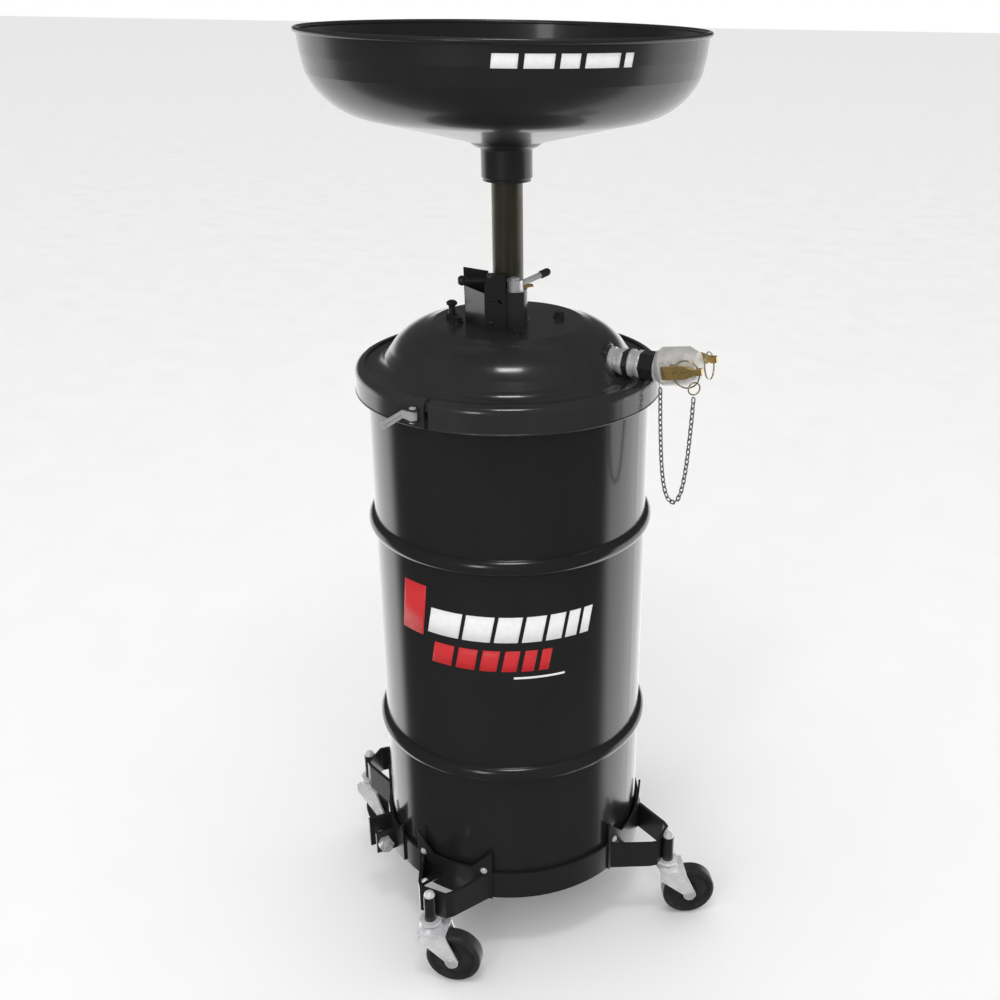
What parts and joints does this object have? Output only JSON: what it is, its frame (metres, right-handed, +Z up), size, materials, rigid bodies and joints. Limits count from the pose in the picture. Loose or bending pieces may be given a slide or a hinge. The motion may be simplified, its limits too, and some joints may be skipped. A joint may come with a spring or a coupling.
{
  "type": "oil drain pan",
  "caption": "Portable used-oil drain with a steel bowl on a telescoping mast, a domed-lid drum, a capped discharge line and a caster dolly",
  "frame": {"origin": "on the floor, on the common axis of the drum and the mast", "axes": "+Z up along the mast; +X along the discharge line and through one caster; +Y completes the right-handed frame"},
  "size_m": [0.5743, 0.537, 1.204],
  "materials": {
    "black_paint": "satin-gloss black enamel",
    "zinc": "bright zinc plating",
    "mast_steel": "oiled bare steel tube, grey-bronze",
    "dark_steel": "black oxide",
    "cast_aluminium": "as cast, lightly machined",
    "cast_iron": "as cast",
    "brass": "dull machined brass",
    "black_plastic": "moulded, matt",
    "seal_rubber": "black nitrile",
    "caster_rubber": "hard black tread"
  },
  "bodies": {
    "base": {"dolly_ring": "black_paint", "caster_brackets": "black_paint", "caster_sockets": "black_paint", "caster_stems": "zinc", "dolly_screws": "zinc", "band_lugs": "black_paint", "band_bolt": "zinc", "drum_shell": "black_paint", "drum_bottom": "black_paint"},
    "lid": {"drum_lid": "black_paint", "lid_gasket": "seal_rubber", "closing_ring": "black_paint", "latch_pin": "zinc", "mast_guide": "black_paint", "mast_bushing": "black_plastic", "guide_bolts": "zinc", "guide_nuts": "zinc", "guard_bracket": "black_paint", "guard_rivets": "zinc", "cam_pivot": "zinc", "vent_base": "black_paint", "pipe_nipple": "zinc", "dip_elbow": "cast_iron", "dip_tube": "zinc", "jam_nut": "dark_steel", "pipe_couplings": "zinc", "line_nut": "black_paint", "cam_adapter": "cast_aluminium", "chain_clip": "zinc", "dust_cap": "cast_aluminium", "cap_pins": "zinc"},
    "latch": {"latch_lever": "zinc"},
    "plunger": {"lock_plunger": "dark_steel", "plunger_knob": "black_plastic"},
    "cam": {"cam_lever": "zinc", "cam_shoe": "brass", "lever_grip": "black_plastic"},
    "mast": {"mast_tube": "mast_steel", "bowl_socket": "black_paint", "drain_bowl": "black_paint", "bowl_screen": "zinc"},
    "vent": {"vent_cap": "black_plastic"},
    "arm_front": {"cap_arm_front": "brass"},
    "arm_rear": {"cap_arm_rear": "brass"},
    "ring_front": {"pull_ring_front": "zinc", "chain_ring": "zinc"},
    "ring_rear": {"pull_ring_rear": "zinc"},
    "dust_chain": {"chain": "zinc"},
    "swivel_right": {"caster_fork_right": "zinc", "caster_axle_right": "zinc"},
    "wheel_right": {"caster_wheel_right": "caster_rubber"},
    "swivel_rear": {"caster_fork_rear": "zinc", "caster_axle_rear": "zinc"},
    "wheel_rear": {"caster_wheel_rear": "caster_rubber"},
    "swivel_left": {"caster_fork_left": "zinc", "caster_axle_left": "zinc"},
    "wheel_left": {"caster_wheel_left": "caster_rubber"},
    "swivel_front": {"caster_fork_front": "zinc", "caster_axle_front": "zinc"},
    "wheel_front": {"caster_wheel_front": "caster_rubber"}
  },
  "joints": [
    {"name": "lid_lift", "type": "slide", "parent": "base", "child": "lid", "axis": [0, 0, 1], "range_m": [0, 0.72]},
    {"name": "mast_slide", "type": "slide", "parent": "lid", "child": "mast", "axis": [0, 0, 1], "range_m": [-0.09, 0.48]},
    {"name": "cam_swing", "type": "hinge", "parent": "lid", "child": "cam", "pos_m": [0.02145, -0.02377, 0.914], "axis": [0, 0, 1], "range_deg": [-100, 0]},
    {"name": "plunger_pull", "type": "slide", "parent": "lid", "child": "plunger", "axis": [-0.8862, -0.4633, 0], "range_m": [0, 0.008], "stiffness_N_per_m": 500, "springref_m": -0.004},
    {"name": "latch_swing", "type": "hinge", "parent": "lid", "child": "latch", "pos_m": [-0.02098, -0.1996, 0.794], "axis": [0, 0, 1], "range_deg": [0, 100]},
    {"name": "vent_turn", "type": "hinge", "parent": "lid", "child": "vent", "pos_m": [-0.06795, -0.0238, 0.872], "axis": [0, 0, 1], "range_deg": [0, 90]},
    {"name": "arm_front_swing", "type": "hinge", "parent": "lid", "child": "arm_front", "pos_m": [0.22372, -0.027, 0.8316], "axis": [-0.1564, 0, 0.9877], "range_deg": [-95, 0]},
    {"name": "arm_rear_swing", "type": "hinge", "parent": "lid", "child": "arm_rear", "pos_m": [0.22372, 0.027, 0.8316], "axis": [-0.1564, 0, 0.9877], "range_deg": [0, 95]},
    {"name": "ring_front_swing", "type": "hinge", "parent": "arm_front", "child": "ring_front", "pos_m": [0.26372, -0.0267, 0.83793], "axis": [0, 1, 0], "range_deg": [0, 20]},
    {"name": "ring_rear_swing", "type": "hinge", "parent": "arm_rear", "child": "ring_rear", "pos_m": [0.26372, 0.0267, 0.83793], "axis": [-0.1564, 0, 0.9877], "range_deg": [-8, 150]},
    {"name": "chain_swing", "type": "hinge", "parent": "lid", "child": "dust_chain", "pos_m": [0.2086, -0.004, 0.802], "axis": [0.9109, -0.4095, 0.0505], "range_deg": [-30, 30]},
    {"name": "swivel_right_turn", "type": "hinge", "parent": "base", "child": "swivel_right", "pos_m": [0.2475, 0, 0.082], "axis": [0, 0, 1], "continuous": true},
    {"name": "wheel_right_roll", "type": "hinge", "parent": "swivel_right", "child": "wheel_right", "pos_m": [0.27464, 0.01696, 0.038], "axis": [-0.5299, 0.848, 0], "continuous": true},
    {"name": "swivel_rear_turn", "type": "hinge", "parent": "base", "child": "swivel_rear", "pos_m": [0, 0.2475, 0.082], "axis": [0, 0, 1], "continuous": true},
    {"name": "wheel_rear_roll", "type": "hinge", "parent": "swivel_rear", "child": "wheel_rear", "pos_m": [0.03007, 0.23655, 0.038], "axis": [0.342, 0.9397, 0], "continuous": true},
    {"name": "swivel_left_turn", "type": "hinge", "parent": "base", "child": "swivel_left", "pos_m": [-0.2469, -0.01726, 0.082], "axis": [0, 0, 1], "continuous": true},
    {"name": "wheel_left_roll", "type": "hinge", "parent": "swivel_left", "child": "wheel_left", "pos_m": [-0.21521, -0.02172, 0.038], "axis": [0.1392, 0.9903, 0], "continuous": true},
    {"name": "swivel_front_turn", "type": "hinge", "parent": "base", "child": "swivel_front", "pos_m": [0, -0.2475, 0.082], "axis": [0, 0, 1], "continuous": true},
    {"name": "wheel_front_roll", "type": "hinge", "parent": "swivel_front", "child": "wheel_front", "pos_m": [0.03105, -0.23976, 0.038], "axis": [-0.2419, 0.9703, 0], "continuous": true}
  ]
}
